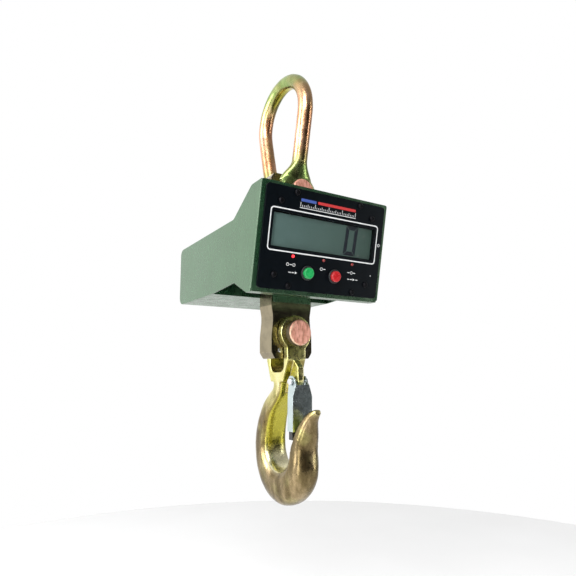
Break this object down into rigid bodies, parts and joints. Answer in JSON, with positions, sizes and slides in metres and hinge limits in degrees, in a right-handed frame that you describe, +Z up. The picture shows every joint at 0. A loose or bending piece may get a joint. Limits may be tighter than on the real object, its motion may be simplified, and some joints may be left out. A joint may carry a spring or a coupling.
{
  "type": "crane scale",
  "caption": "Hanging crane scale: bow shackle over a bar load cell, green sheet-metal housing with tilted display panel, and a clevis sling hook with sprung safety latch.",
  "frame": {"origin": "inside of the shackle's crown, where the crane hook bears", "axes": "+Z up, -Y the side the display faces, +X to the display's right; both load pins lie along Y"},
  "size_m": [0.148, 0.2057, 0.457],
  "materials": {
    "gold_zinc": "yellow zinc chromate over forged steel",
    "bright_steel": "bright zinc plate",
    "cell_steel": "satin nickel plate",
    "zinc_sheet": "pressed zinc-plated sheet",
    "green_paint": "dark green gloss paint",
    "black_panel": "black satin overlay",
    "black_steel": "blackened steel",
    "black_plastic": "moulded black plastic",
    "battery_case": "moulded battery case",
    "clear_window": "clear acrylic",
    "lcd": "reflective liquid crystal display",
    "light_guide": "light guide",
    "circuit_board": "solder-masked circuit board",
    "chips": "moulded component packages",
    "foil": "foil gauge on polyimide",
    "led": "diffused lamp",
    "green_cap": "green moulded cap",
    "red_cap": "red moulded cap",
    "cable": "flexible cable sheath",
    "grommet": "soft grommet"
  },
  "bodies": {
    "shackle": {"shackle_bow": "gold_zinc", "shackle_pin": "gold_zinc", "shackle_pin_washer": "bright_steel", "shackle_split_pin": "bright_steel"},
    "scale": {"load_cell_body": "cell_steel", "gauge_pocket_covers": "cell_steel", "strain_gauges": "foil", "load_cell_gland": "black_plastic", "load_cell_face_screws": "bright_steel", "side_plate_left": "green_paint", "side_plate_right": "green_paint", "head_top_sheet": "green_paint", "head_floor_sheet": "green_paint", "head_rear_wall": "green_paint", "battery_box_front_wall": "green_paint", "battery_box_wrap": "green_paint", "battery_door": "green_paint", "battery_door_screws": "black_steel", "front_bracket": "green_paint", "rear_bracket": "green_paint", "bracket_cell_bolts": "bright_steel", "bracket_wall_bolts": "bright_steel", "bracket_wall_nuts": "bright_steel", "front_frame": "green_paint", "front_panel": "black_panel", "panel_screws": "black_steel", "panel_nuts": "bright_steel", "display_window": "clear_window", "lcd_glass": "lcd", "lcd_backlight": "light_guide", "lcd_carrier_board": "circuit_board", "status_leds": "led", "green_button_spring": "bright_steel", "red_button_spring": "bright_steel", "button_housings": "black_plastic", "button_nuts": "black_steel", "board_standoffs": "bright_steel", "main_board": "circuit_board", "board_screws": "bright_steel", "board_components": "chips", "battery": "battery_case", "battery_strap": "black_steel", "battery_strap_screws": "bright_steel", "charging_socket": "black_plastic", "charging_socket_nut": "black_steel", "cable_grommets": "grommet", "load_cell_cable": "cable", "battery_lead": "cable", "charging_lead": "cable"},
    "green_button": {"green_button_cap": "green_cap"},
    "red_button": {"red_button_cap": "red_cap"},
    "hook": {"hook_body": "gold_zinc", "hook_pin": "gold_zinc", "hook_pin_washer": "bright_steel", "hook_spacer_washers": "bright_steel", "hook_split_pin": "bright_steel", "latch_rivet": "bright_steel", "latch_spring": "bright_steel"},
    "latch": {"latch_plate": "zinc_sheet", "latch_tip_pad": "black_plastic"}
  },
  "joints": [
    {"name": "scale_swing", "type": "hinge", "parent": "shackle", "child": "scale", "pos_m": [0, 0, -0.129], "axis": [0, 1, 0], "range_deg": [-90, 90]},
    {"name": "hook_swing", "type": "hinge", "parent": "scale", "child": "hook", "pos_m": [0, 0, -0.274], "axis": [0, 1, 0], "range_deg": [-90, 90]},
    {"name": "latch_hinge", "type": "hinge", "parent": "hook", "child": "latch", "pos_m": [0, -0.0221, -0.322], "axis": [1, 0, 0], "range_deg": [0, 38], "stiffness_Nm_per_rad": 0.05, "springref_deg": -28.65, "deforming": ["latch_spring"]},
    {"name": "green_button_press", "type": "slide", "parent": "scale", "child": "green_button", "axis": [0, 0.9778, 0.2096], "range_m": [0, 0.002], "stiffness_N_per_m": 300, "deforming": ["green_button_spring"]},
    {"name": "red_button_press", "type": "slide", "parent": "scale", "child": "red_button", "axis": [0, 0.9778, 0.2096], "range_m": [0, 0.002], "stiffness_N_per_m": 300, "deforming": ["red_button_spring"]}
  ]
}
